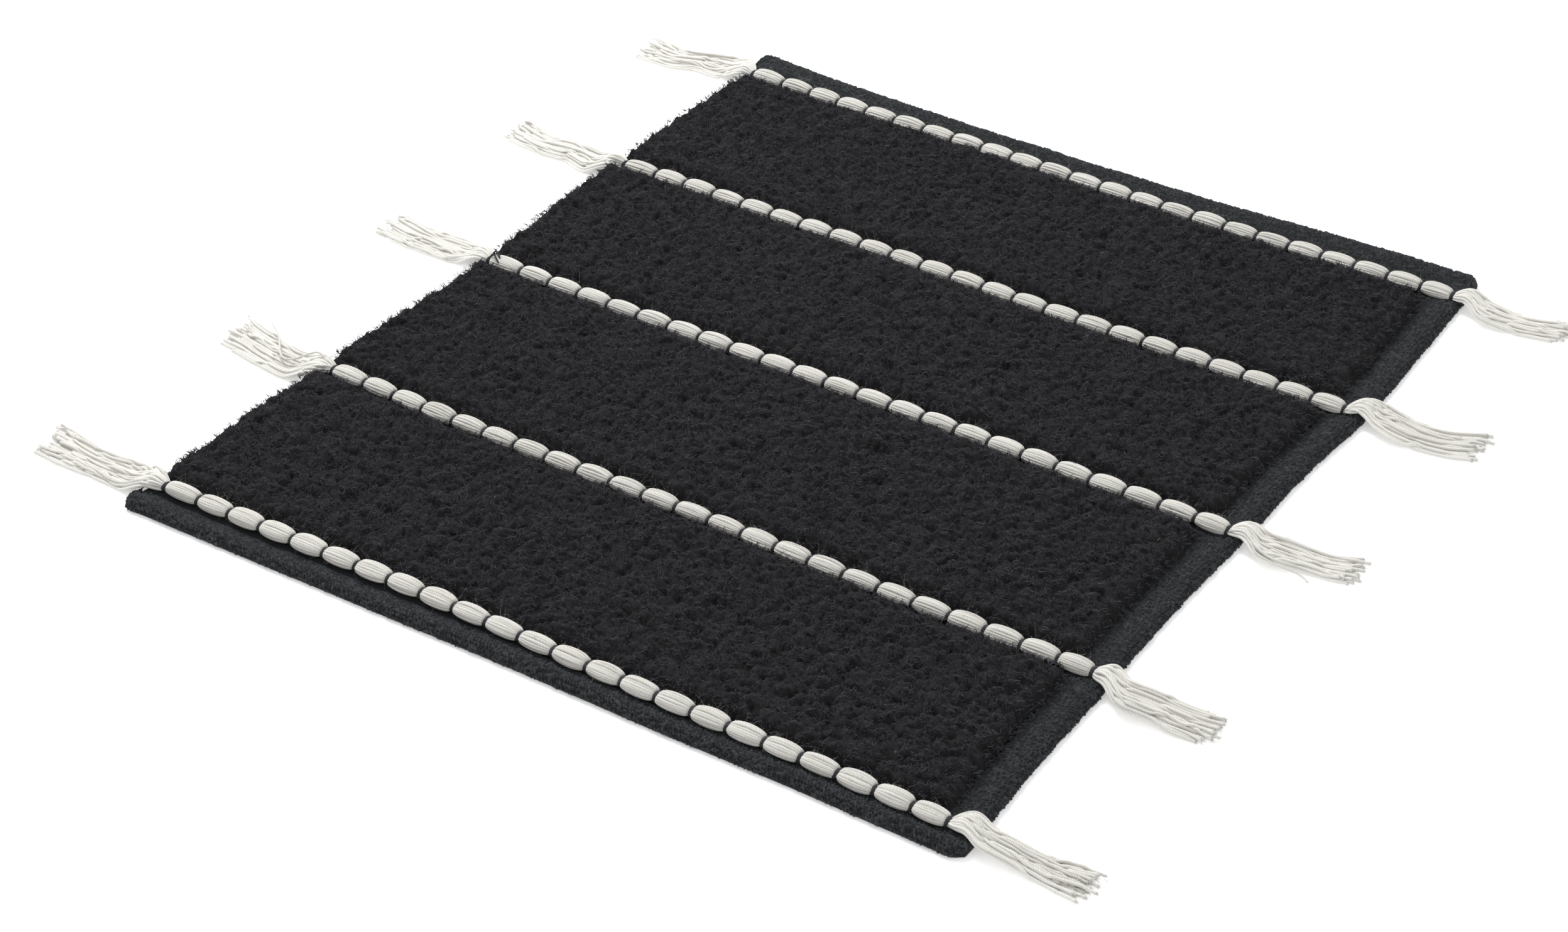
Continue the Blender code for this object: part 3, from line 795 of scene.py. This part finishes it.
# ---------------------------------------------------------------- tassels
# How each tassel lies, in mm: its reach past the last tie, how far to the back it lies 20, 40 and 60 out
# and at its tip, and how wide it is on the hem, at its middle and at its tip.
TASSELS = {
    ("left", 1): (89, (2, 2, 2, 5), (25, 23, 29)),
    ("left", 2): (79, (-2, -1, 3, 7), (24, 23, 29)),
    ("left", 3): (82, (4, 4, 4, 8), (23, 24, 27)),
    ("left", 4): (90, (-2, 2, 0, 7), (26, 20, 25)),
    ("left", 5): (84, (6, 5, -2, 2), (27, 21, 28)),
    ("right", 1): (73, (0, 1, 2, 3), (13, 15, 22)),
    ("right", 2): (70, (-6, -4, -2, 0), (21, 21, 24)),
    ("right", 3): (70, (0, 5, 9, 13), (23, 21, 27)),
    ("right", 4): (75, (5, 5, 9, 17), (22, 21, 26)),
    ("right", 5): (70, (-2, 0, 6, 11), (20, 18, 25)),
}
TASSEL_YARNS = 30
TASSEL_STEP = 1.1 * MM
TASSEL_YARN = 0.88 * MM  # radius once out of the tie
FRAY_HAIRS = 16  # on each cut end
# Over how many mm past the hem a tassel comes down to the floor, row by row.
TASSEL_FALL = {"left": (21, 21, 21, 21, 21), "right": (50, 62, 50, 46, 44)}
BULGE_BACK = {"left": 0.5 * MM, "right": 3.6 * MM}  # just past the tie a tassel bulges to the back and up
BULGE_UP = {"left": 0.6 * MM, "right": 2.0 * MM}
BULGE_SPAN = {"left": 24 * MM, "right": 18 * MM}


def settle(y, z, radius, ground, target, free, rounds=150):
    """Yarns (yarn, place) come to lie beside and on each other: apart where they touch, and down by their
    weight where they are free of the tie."""
    start_y, start_z = y[:, :3].copy(), z[:, :3].copy()
    both = radius[None, None, :] * 2
    own = np.eye(len(y), dtype=bool)
    for _ in range(rounds):
        z = z - 0.05 * MM * free
        y = y + 0.04 * (target - y)
        for line in (y, z):
            line[:, 1:-1] = 0.5 * line[:, 1:-1] + 0.25 * (line[:, :-2] + line[:, 2:])
        dy, dz = y[:, None] - y[None], z[:, None] - z[None]
        gap = np.sqrt(dy**2 + dz**2) + 1e-9
        push = np.clip(both - gap, 0, None) * 0.34 / gap
        push[own] = 0
        y, z = y + (push * dy).sum(1), z + (push * dz).sum(1)
        z = np.maximum(z, ground + radius)
        y[:, :3], z[:, :3] = start_y, start_z
    return y, z


def make_tassel(word, row):
    """The yarns of one tassel, from its tie over the hem and down to the floor, and their frayed ends."""
    side = SIDES[word]
    rng = rng_for("tassel", word, row)
    reach, course, widths = TASSELS[word, row]
    tie_x = side * LAST_TIE
    hem = side * (side_edge(side, row_y(row, tie_x)) - tie_x)
    lengths = (reach + rng.normal(0, 3.2, TASSEL_YARNS) - 9 * (rng.uniform(0, 1, TASSEL_YARNS) < 0.1)) * MM
    s = np.arange(0, lengths.max() + TASSEL_STEP, TASSEL_STEP)
    marks = np.array((0, 20, 40, 60, reach)) * MM
    bulge = np.sin(np.pi * np.clip((s - 2.5 * MM) / BULGE_SPAN[word], 0, 1)) ** 1.5
    fall = TASSEL_FALL[word][row - 1] * MM
    middle = row_y(row, tie_x) + through(s, marks, np.array((0, *course)) * MM) + BULGE_BACK[word] * bulge
    wide = through(s, np.array((0, 9, 24, 46, reach)) * MM, np.array((7.6, 11.6, *widths)) * MM)
    radius = mix(0.55 * MM, TASSEL_YARN, smooth((s - 2 * MM) / (8 * MM)))
    rise = ROVING_Z - ROW_DROP[row]
    ground = (SIDE_HEM_TOP + 0.6 * MM) * (1 - smooth((s - hem + 2 * MM) / fall)) + BULGE_UP[word] * bulge
    k = np.arange(TASSEL_YARNS)
    out, angle = np.sqrt((k + 0.5) / TASSEL_YARNS), k * 2.4
    neck = rise - NECK_SINK
    y0, z0 = out * np.cos(angle) * 2.5 * MM, neck + out * np.sin(angle) * 1.6 * MM
    order = np.argsort(np.argsort(y0 + rng.normal(0, 0.9, TASSEL_YARNS) * MM))
    slot = (order + 0.5) / TASSEL_YARNS * 2 - 1
    bunch = 0.11 * np.sin(slot * 9 + rng.uniform(0, 6))
    wander = np.array([1.7 * MM * drift(s, 5 * i, 0.017, 70 + row) for i in k]) * smooth(s / 0.02)
    target = middle + (slot + bunch)[:, None] * (wide / 2 - radius) + wander
    y = mix(y0[:, None] + row_y(row, tie_x), target, smooth((s - 2.5 * MM) / (12 * MM)))
    opening = smooth((s - 2.5 * MM) / (7 * MM))
    belly = mix(neck, rise, opening) + (z0 - neck)[:, None] * mix(1.0, 2.1, opening)
    loft = ground + radius + rng.uniform(0, 3.0, TASSEL_YARNS)[:, None] * MM
    z = mix(belly, loft, smooth((s - 9 * MM) / (16 * MM)))
    floor = np.minimum(ground, mix(rise - 3.2 * MM, ground, smooth(s / (5 * MM))))
    y, z = settle(y, z, radius * 0.93, floor, target, smooth((s - 4 * MM) / (14 * MM)))
    strands, tips = Strands(), []
    for i in k:
        rings = int(lengths[i] / TASSEL_STEP)
        path = np.stack([tie_x + side * (s - 1.5 * MM), y[i], z[i]], -1)[None, :rings]
        thick = radius * rng.normal(1, 0.06) * (1 + 0.07 * drift(s, i, 0.01, 95))
        thick[rings - 2 : rings] *= (1.0, 0.8)
        path[..., 2] = np.maximum(path[..., 2], thick[:rings] + 0.03 * MM)
        # The same yarn as the puffs, painted lighter: painted light from the white floor, over a random
        # tone per yarn.
        tone = rng.normal(0.68, 0.1, 1)
        strands.add(path, thick[None, :rings], YARN_SIDES, (0, 0, 1), tone=tone, lobes=YARN_PLIES)
        tips.append(path[0, -1])
    if (word, row) in STRAYS:
        lay_stray(strands, side, tie_x, row_y(row, tie_x), s, middle, ground, STRAYS[word, row])
    piece = strands.build(f"tassel_{word}_{row}_yarns", WHITE_YARN, long=True)
    body = f"tassel_{word}_{row}"
    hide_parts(body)
    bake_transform(piece)
    tips = np.repeat(np.array(tips), FRAY_HAIRS, axis=0)
    n = len(tips)
    tips = tips + rng.normal(0, 0.42, (n, 3)) * MM - np.array([side * 0.8 * MM, 0, 0])
    tips[:, 2] = np.maximum(tips[:, 2], 0.3 * MM)
    spray = np.stack([np.full(n, float(side)), rng.normal(0, 0.3, n), rng.normal(0, 0.25, n)], -1)
    frayed = Strands()
    paths, radii = hairs(tips, spray, rng.uniform(0.5, 1.7, n) * MM, 0.17 * MM, rng, rings=4)
    frayed.add(paths, radii, 3, (0, 0, 1), tone=rng.uniform(0.5, 0.9, n))
    fray = frayed.build(f"tassel_{word}_{row}_fray", WHITE_FUZZ)
    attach(fray, body)
    return [piece, fray]


# Thin yarns that have come loose from their tassel, in mm: reach, how far aside at four places, and height
# over the rest.
STRAYS = {
    ("left", 2): (62, (3, -4, 9, 16), 6.0),
    ("right", 3): (52, (-8, -13, -16, -19), 1.0),
}


def lay_stray(strands, side, tie_x, tie_y, s, middle, ground, how):
    """One thin yarn on its own way over or beside a tassel."""
    reach, aside, over = how
    own = np.arange(2 * MM, reach * MM, 1.2 * MM)
    away = through(own, np.array((0, 16, 32, 48, reach)) * MM, np.array((0, *aside)) * MM)
    base = np.interp(own, s, ground) + 0.7 * MM
    z = mix(ROVING_Z, base + over * MM, smooth(own / (14 * MM)))
    path = np.stack([tie_x + side * own, np.interp(own, s, middle) + away, z], -1)[None]
    radius = 0.62 * MM * np.ones(len(own))
    radius[-2:] *= 0.7
    strands.add(path, radius[None], 8, (0, 0, 1), tone=np.array([0.5]), lobes=YARN_PLIES)


# ---------------------------------------------------------------- pile
TUFT_PITCH, TUFT_JITTER, TUFT_SEED = 2.7 * MM, 0.3, 71
CLUMP_PITCH, CLUMP_SEED = 6.5 * MM, 11
BARE_RIGHT = 19 * MM
PANEL_LEFT, PANEL_FRONT, PANEL_BACK = 2.0 * MM, 6.4 * MM, 5.3 * MM  # off the left edge and off the rows
PILE_PARTS = 4
BED_SHARE = 0.80
BED_POINTS = (400, 110)  # along and across a panel
WISPS_PER_TUFT = 2.9


def clump_table(seed, jitter):
    """Where in its cell each clump's middle lies, and each clump's own random number."""
    rng = np.random.default_rng(seed)
    n = 256
    return rng.uniform(0.5 - jitter, 0.5 + jitter, (n, n, 2)), rng.uniform(0, 1, (n, n))


def nearest_clump(x, y, pitch, seed, jitter=0.42):
    """The middle of the clump that each point belongs to, and the clump's own random number."""
    place, own = clump_table(seed, jitter)
    n = len(own)
    i, j = np.floor(x / pitch).astype(int), np.floor(y / pitch).astype(int)
    best = np.full(x.shape, np.inf)
    cx, cy, number = np.zeros_like(x), np.zeros_like(x), np.zeros_like(x)
    for di in (-1, 0, 1):
        for dj in (-1, 0, 1):
            a, b = (i + di) % n, (j + dj) % n
            px, py = (i + di + place[a, b, 0]) * pitch, (j + dj + place[a, b, 1]) * pitch
            gap = (px - x) ** 2 + (py - y) ** 2
            closer = gap < best
            best = np.where(closer, gap, best)
            cx, cy = np.where(closer, px, cx), np.where(closer, py, cy)
            number = np.where(closer, own[a, b], number)
    return cx, cy, number


def clump_middles(low, high, pitch, seed, jitter):
    """Every clump middle between two corners, with the clump's own random number."""
    place, own = clump_table(seed, jitter)
    n = len(own)
    i, j = np.meshgrid(
        np.arange(math.floor(low[0] / pitch), math.ceil(high[0] / pitch)),
        np.arange(math.floor(low[1] / pitch), math.ceil(high[1] / pitch)), indexing="ij",
    )
    spot, number = place[i % n, j % n], own[i % n, j % n]
    return ((i + spot[..., 0]) * pitch).ravel(), ((j + spot[..., 1]) * pitch).ravel(), number.ravel()


def pile_right(y):
    """Where the pile ends beside the bare strip on the right."""
    return side_edge(1, y) - BARE_RIGHT + 1.8 * MM * drift(y, 3.0, 0.007, 31)


def panel_edges(panel, x, y):
    """How far a point is inside the panel's left, right, front and back edges."""
    front, back = row_y(panel, x) + PANEL_FRONT, row_y(panel + 1, x) - PANEL_BACK
    return x - side_edge(-1, y) - PANEL_LEFT, pile_right(y) - x, y - front, back - y


def ruffled(x, y):
    """Where a point of the pile was before hands and feet ruffled its clumps."""
    return x + 3.2 * MM * drift(x, y, 0.0085, 14), y + 3.2 * MM * drift(x, y, 0.0085, 15)


def bed_height(panel, x, y):
    """How high the dense lower pile stands: lumps over tufts and clumps, lower at the edges and beside the
    rows. Also its painted shade: lighter on the tufts' lumps, darker in the pits between tufts and clumps."""
    left, right, front, back = panel_edges(panel, x, y)
    wx, wy = ruffled(x, y)
    cx, cy, own = nearest_clump(wx, wy, CLUMP_PITCH, CLUMP_SEED + panel)
    tx, ty, tuft = nearest_clump(x, y, TUFT_PITCH, TUFT_SEED + panel, TUFT_JITTER)
    clump = np.clip(np.hypot(wx - cx, wy - cy) / (0.62 * CLUMP_PITCH), 0, 1.2) ** 2
    dome = 1 - np.clip(np.hypot(x - tx, y - ty) / (0.62 * TUFT_PITCH), 0, 1.2) ** 2
    full = (PILE_TOP - CLOTH_TOP) * BED_SHARE + 1.8 * MM * (own - 0.5) + 0.8 * MM * (tuft - 0.5)
    full = full + 0.9 * MM * drift(x, y, 0.022, 53) + 0.7 * MM * drift(x, y, 0.0045, 54) - 1.9 * MM * clump
    ease = (
        mix(0.55, 1, smooth(left / (6 * MM))) * mix(0.42, 1, smooth(right / (7 * MM)))
        * mix(0.70, 1, smooth(front / (5 * MM))) * mix(0.42, 1, smooth(back / (9 * MM)))
    )
    lump = np.clip(dome, -0.4, 1)
    # Painted shade: lit on the tufts' lumps and dark in the pits between the clumps.
    return full * ease + 0.9 * MM * lump, np.clip(0.6 + 0.45 * lump - 0.4 * clump, 0, 1)


def make_panel_bed(panel):
    """The dense lower pile, which closes the view between the wisps."""
    s, t = np.linspace(0, 1, BED_POINTS[0])[:, None], np.linspace(0, 1, BED_POINTS[1])[None, :]
    y_mid = mix(row_y(panel), row_y(panel + 1), t)
    x = mix(side_edge(-1, y_mid) + 3 * MM, pile_right(y_mid) - 0.8 * MM, s)
    y = mix(row_y(panel, x) + 6.9 * MM, row_y(panel + 1, x) - 5.8 * MM, t)
    rim = np.minimum(np.minimum(s, 1 - s) * 470 * MM, np.minimum(t, 1 - t) * 122 * MM)
    height, crest_shade = bed_height(panel, x, y)
    high = CLOTH_TOP + height * (0.25 + 0.75 * smooth(rim / (3 * MM)))
    over_hem = np.where(x - side_edge(-1, y) < 13 * MM, SIDE_HEM_TOP + 0.8 * MM, 0)
    upper = np.stack([x, y, np.maximum(high, over_hem)], -1)
    some = np.linspace(x.shape[1] - 1, 0, 6).astype(int)
    lower = upper[:, some].copy()
    lower[..., 2] = CLOTH_TOP + 0.4 * MM
    grid = np.concatenate([upper, lower], 1)
    # The underside is painted black: no tone and full painted shade.
    plain = np.zeros((len(x), 6))
    tone = np.concatenate([np.full(x.shape, 0.3), plain], 1)
    crest_shade = np.concatenate([crest_shade, plain], 1)
    bed = closed_sheet(f"pile_panel_{panel}_bed", grid, BLACK_BED, tone, crest_shade)
    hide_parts(f"pile_panel_{panel}")
    return bed


def wisps(root, heading, length, rise, rng, rings=4):
    """Fibre ends that leave their tuft upright and curl over towards their heading."""
    n = len(root)
    t = np.linspace(0, 1, rings)[None, :]
    ahead = np.stack([np.cos(heading), np.sin(heading), 0 * heading], -1)[:, None]
    aside = np.stack([-np.sin(heading), np.cos(heading), 0 * heading], -1)[:, None]
    swing, phase = rng.normal(0, 0.32, (n, 1)), rng.uniform(-1, 1, (n, 1))
    out = length[:, None] * (0.2 * t + 0.62 * t**2)
    side = length[:, None] * swing * np.sin(3.6 * t + phase) * t
    up = length[:, None] * (rise[:, None] * t * (1.55 - 0.95 * t))
    paths = root[:, None] + out[..., None] * ahead + side[..., None] * aside
    paths[..., 2] += up
    size = rng.uniform(0.7, 1.35, n)[:, None]
    radii = 0.20 * MM * size * np.array([1.0, 1.05, 0.7, 0.3])
    return paths, radii


def make_wisps(panel, part, x, y, own, rng):
    """Some of a panel's wisps, by the places and own numbers of their tufts."""
    owner = np.repeat(np.arange(len(x)), rng.poisson(WISPS_PER_TUFT, len(x)))
    n = len(owner)
    px = x[owner] + rng.normal(0, 0.62, n) * MM
    py = y[owner] + rng.normal(0, 0.62, n) * MM
    left, right, front, back = panel_edges(panel, px, py)
    height, _ = bed_height(panel, px, py)
    wx, wy = ruffled(px, py)
    cx, cy, clump = nearest_clump(wx, wy, CLUMP_PITCH, CLUMP_SEED + panel)
    heading = own[owner] * 6.28 + rng.normal(0, 0.8, n)
    dx = np.cos(heading) + 0.22 * (cx - wx) / MM
    dy = np.sin(heading) + 0.22 * (cy - wy) / MM
    for gap, ax, ay in ((left, -1, 0), (right, 1, 0), (front, 0, -1), (back, 0, 1)):
        near = 1.6 * np.exp(-np.clip(gap, 0, None) / (2 * MM))
        dx, dy = dx + ax * near, dy + ay * near
    heading = np.arctan2(dy, dx)
    down = mix(rng.uniform(0.25, 1.0, n), 1.0, smooth(right / (4 * MM)))
    root = np.stack([px, py, np.maximum(CLOTH_TOP + height * down - 0.7 * MM, CLOTH_TOP + 0.6 * MM)], -1)
    length = rng.uniform(2.2, 4.9, n) * MM * mix(0.75, 1, smooth(np.minimum(left, back) / (4 * MM)))
    paths, radii = wisps(root, heading, length, rng.uniform(0.35, 0.95, n), rng)
    paths[..., 2] = np.maximum(paths[..., 2], CLOTH_TOP + 0.4 * MM)
    # Painted shade: dark at the root, deep in the pile, and lit at the tip.
    crest_shade = np.broadcast_to(np.array([0.3, 0.7, 1.0, 1.0]), (n, 4))
    strands = Strands()
    tone = 0.40 + 0.3 * (clump - 0.5) + rng.normal(0, 0.22, n)
    strands.add(paths, radii, 3, (0.31, 0.22, 0.92), tone=tone, crest_shade=crest_shade)
    piece = strands.build(f"pile_panel_{panel}_wisps_{part + 1}", BLACK_PILE)
    return piece


def make_panel(panel):
    """A panel's dense lower pile and, in a few pieces from left to right, its wisps."""
    rng = rng_for("pile", panel)
    low, high = (-0.256, row_y(panel) - 4 * MM), (0.262, row_y(panel + 1) + 4 * MM)
    x, y, own = clump_middles(low, high, TUFT_PITCH, TUFT_SEED + panel, TUFT_JITTER)
    left, right, front, back = panel_edges(panel, x, y)
    inside = (left > 0) & (right > 0) & (front > 0) & (back > 0)
    corner = 8 * MM
    for b in (front, back):
        inside &= ~((right < corner) & (b < corner) & (np.hypot(corner - right, corner - b) > corner))
    order = np.argsort(x[inside], kind="stable")
    x, y, own = x[inside][order], y[inside][order], own[inside][order]
    parts = np.array_split(np.arange(len(x)), PILE_PARTS)
    made = [make_wisps(panel, part, x[few], y[few], own[few], rng) for part, few in enumerate(parts)]
    return [make_panel_bed(panel), *made]


PALE_LINT, DARK_LINT = 70, 34  # on the whole pile, and on each row
LINT_RADIUS = 0.045 * MM


def make_lint():
    """Stray bits of pale fluff caught on the black, and of black fibre on the white puffs."""
    rng = rng_for("lint")
    x, y = rng.uniform(-0.23, 0.22, PALE_LINT), rng.uniform(-0.27, 0.27, PALE_LINT)
    near = np.min([np.abs(y - row_y(row, x)) for row in ROWS], axis=0)
    x, y = x[near > 11 * MM], y[near > 11 * MM]
    high = np.zeros(len(x))
    for panel in ROWS[:-1]:
        inside = (y > row_y(panel, x)) & (y < row_y(panel + 1, x))
        high[inside] = bed_height(panel, x[inside], y[inside])[0]
    root = np.stack([x, y, CLOTH_TOP + high + 1.6 * MM], -1)
    pale, dark = Strands(), Strands()
    spray = rng.normal(0, 1, (len(root), 3)) * (1, 1, 0.2)
    length = rng.uniform(0.6, 1.8, len(root)) * MM
    pale.add(*hairs(root, spray, length, LINT_RADIUS, rng, curl=0.5), 4, (0.3, 0.2, 0.9))
    made = [pale.build("pale_lint", WHITE_FUZZ)]
    for row in ROWS:
        x = rng.uniform(-LAST_TIE, LAST_TIE, DARK_LINT)
        width, height, z0 = puff_profile(x, row)
        turn = rng.uniform(0.15, 0.85, len(x)) * np.pi
        x = pushed(x)
        root = np.stack([
            x, row_y(row, x) + width * np.cos(turn), z0 + 0.25 * MM + height * np.sin(turn),
        ], -1)
        spray = rng.normal(0, 1, (len(x), 3)) * (1, 0.6, 0.15)
        length = rng.uniform(0.6, 2.4, len(x)) * MM
        dark.add(*hairs(root, spray, length, LINT_RADIUS, rng, curl=0.5), 3, (0.3, 0.2, 0.9))
    made.append(dark.build("dark_lint", BLACK_FUZZ))
    return made


# ---------------------------------------------------------------- set and camera
# Area lamps that face the mat's middle: (name, place, size, watts).
LAMPS = (("softbox_key", (-1.3, 0.6, 1.9), 0.9, 54), ("softbox_fill", (1.6, -1.4, 2.2), 1.8, 9))


def make_set():
    bpy.ops.mesh.primitive_plane_add(size=14)
    floor = bpy.context.object
    floor.name = "floor"
    paper = bpy.data.materials.new("pale_floor")
    paper.use_nodes = True
    shader = paper.node_tree.nodes["Principled BSDF"]
    shader.inputs["Base Color"].default_value = (0.95, 0.95, 0.95, 1)
    shader.inputs["Roughness"].default_value = 0.9
    shader.inputs["Emission Color"].default_value = (1, 1, 1, 1)
    shader.inputs["Emission Strength"].default_value = 0.30
    floor.data.materials.append(paper)
    world = bpy.data.worlds.new("studio")
    bpy.context.scene.world = world
    world.use_nodes = True
    world.node_tree.nodes["Background"].inputs["Color"].default_value = (1, 1, 1, 1)
    world.node_tree.nodes["Background"].inputs["Strength"].default_value = 0.70
    for name, place, size, power in LAMPS:
        lamp = bpy.data.lights.new(name, "AREA")
        lamp.energy, lamp.size = power, size
        box = bpy.data.objects.new(name, lamp)
        box.location = place
        box.rotation_euler = (-Vector(place)).to_track_quat("-Z", "Y").to_euler()
        bpy.context.scene.collection.objects.link(box)
    bpy.context.scene.view_settings.view_transform = "Standard"


def make_camera():
    """Above and to the right of the mat's front, looking down across it."""
    azimuth, elevation, roll = math.radians(32.97), math.radians(34.57), math.radians(0.67)
    target, distance = Vector((0.0109, -0.0716, 0.0)), 1.8466
    back = Vector((
        math.sin(azimuth) * math.cos(elevation),
        -math.cos(azimuth) * math.cos(elevation),
        math.sin(elevation),
    ))
    data = bpy.data.cameras.new("camera")
    data.lens, data.sensor_width = 79.7, 36
    data.clip_start, data.clip_end = 0.1, 30
    camera = bpy.data.objects.new("camera", data)
    turn = (-back).to_track_quat("-Z", "Y").to_matrix().to_4x4() @ Matrix.Rotation(roll, 4, "Z")
    camera.matrix_world = Matrix.Translation(target + back * distance) @ turn
    bpy.context.scene.collection.objects.link(camera)
    bpy.context.scene.camera = camera


def main():
    make_camera()
    make_set()
    cloth = make_cloth()
    on_cloth = make_hems()
    for row in ROWS:
        on_cloth += make_roving(row)
        on_cloth.append(make_tie(row))
    for panel in ROWS[:-1]:
        on_cloth += make_panel(panel)
    on_cloth += make_lint()
    for piece in [cloth, *on_cloth]:
        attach(piece, "mat")
    for row in ROWS:
        for word in SIDES:
            on_cloth += make_tassel(word, row)
    for word in ("front", "back", "left", "right"):
        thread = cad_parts[f"hem_thread_{word}"]
        thread.data.materials.clear()
        thread.data.materials.append(BLACK_YARN)
        on_cloth.append(thread)


main()
